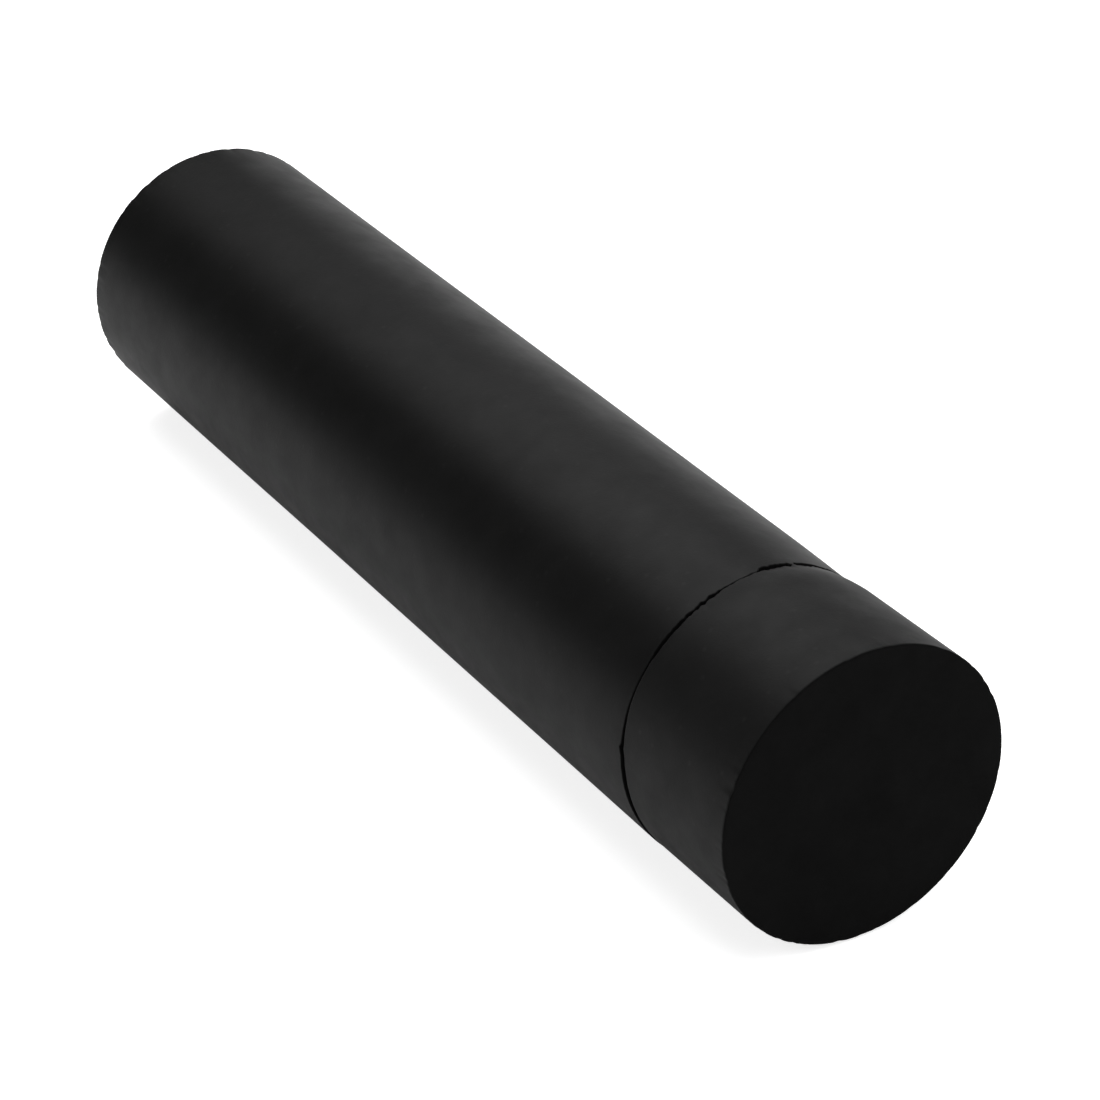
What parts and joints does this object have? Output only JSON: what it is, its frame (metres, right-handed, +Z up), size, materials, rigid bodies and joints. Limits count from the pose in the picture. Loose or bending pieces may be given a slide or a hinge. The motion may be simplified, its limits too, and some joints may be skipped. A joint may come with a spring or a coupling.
{
  "type": "foam roller",
  "caption": "Smooth black foam roller with a hollow core for storage, closed at one end by a short foam-covered cap that screws off.",
  "frame": {"origin": "On the surface that the roller lies on, under the middle of its length.", "axes": "+X runs along the roller towards the cap, and +Z is up. The axis of the roller, its cap and its thread is parallel to X, 70 mm above the origin."},
  "size_m": [0.61, 0.14, 0.14],
  "materials": {
    "sleeve_foam": "satin",
    "cap_foam": "satin",
    "pad_foam": "matte",
    "seal_rubber": "satin",
    "core_plastic": "matte",
    "liner_plastic": "satin",
    "screw_steel": "satin"
  },
  "bodies": {
    "roller": {"roller_sleeve": "sleeve_foam", "core_tube": "core_plastic", "neck_collar": "liner_plastic", "neck_screws": "screw_steel", "rear_bulkhead": "liner_plastic", "bulkhead_screws": "screw_steel", "rear_foam_disc": "sleeve_foam", "floor_pad": "pad_foam"},
    "seal": {"o_ring": "seal_rubber"},
    "cap": {"cap_sleeve": "cap_foam", "cap_shell": "core_plastic", "threaded_cup": "liner_plastic", "cap_screws": "screw_steel"}
  },
  "joints": [
    {"name": "cap_travel", "type": "slide", "parent": "roller", "child": "seal", "axis": [1, 0, 0], "range_m": [0, 0.0801]},
    {"name": "cap_turn", "type": "hinge", "parent": "seal", "child": "cap", "pos_m": [0.225, 0, 0.07], "axis": [1, 0, 0], "range_deg": [0, 720]}
  ],
  "couplings": [
    {"joint": "cap_travel", "follows": "cap_turn", "m_per_rad": 0.0063662}
  ]
}
